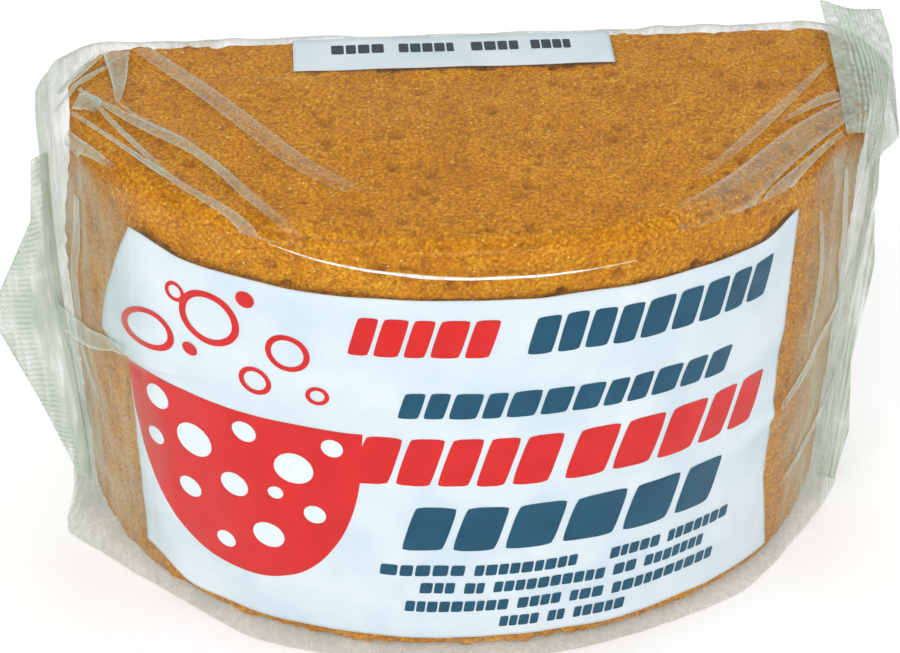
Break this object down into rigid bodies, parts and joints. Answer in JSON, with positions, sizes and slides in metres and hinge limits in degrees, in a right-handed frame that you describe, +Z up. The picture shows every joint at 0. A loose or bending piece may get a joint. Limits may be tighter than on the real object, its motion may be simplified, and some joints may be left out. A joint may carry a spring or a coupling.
{
  "type": "bath sponge",
  "caption": "Half-moon foam bath sponge in a clear film wrapper, with a printed paper sheet on its bowed front and a paper strip over its back edge.",
  "frame": {"origin": "middle of the wrapper's flat underside, at mid-length and mid-depth of the sponge", "axes": "+X along the sponge's length, +Y towards its flat back, +Z up, away from the surface it stands on"},
  "size_m": [0.1879, 0.0726, 0.122],
  "materials": {
    "foam": "open-cell polyester foam, cut faces, matt with small glints",
    "paper": "smooth white label paper with flat printed marks",
    "film": "thin clear wrapping film, glossy, hazy where it is folded or crimped"
  },
  "bodies": {
    "root": {"sponge": "foam", "front_paper": "paper", "back_paper": "paper", "film_bag": "film"}
  },
  "joints": []
}
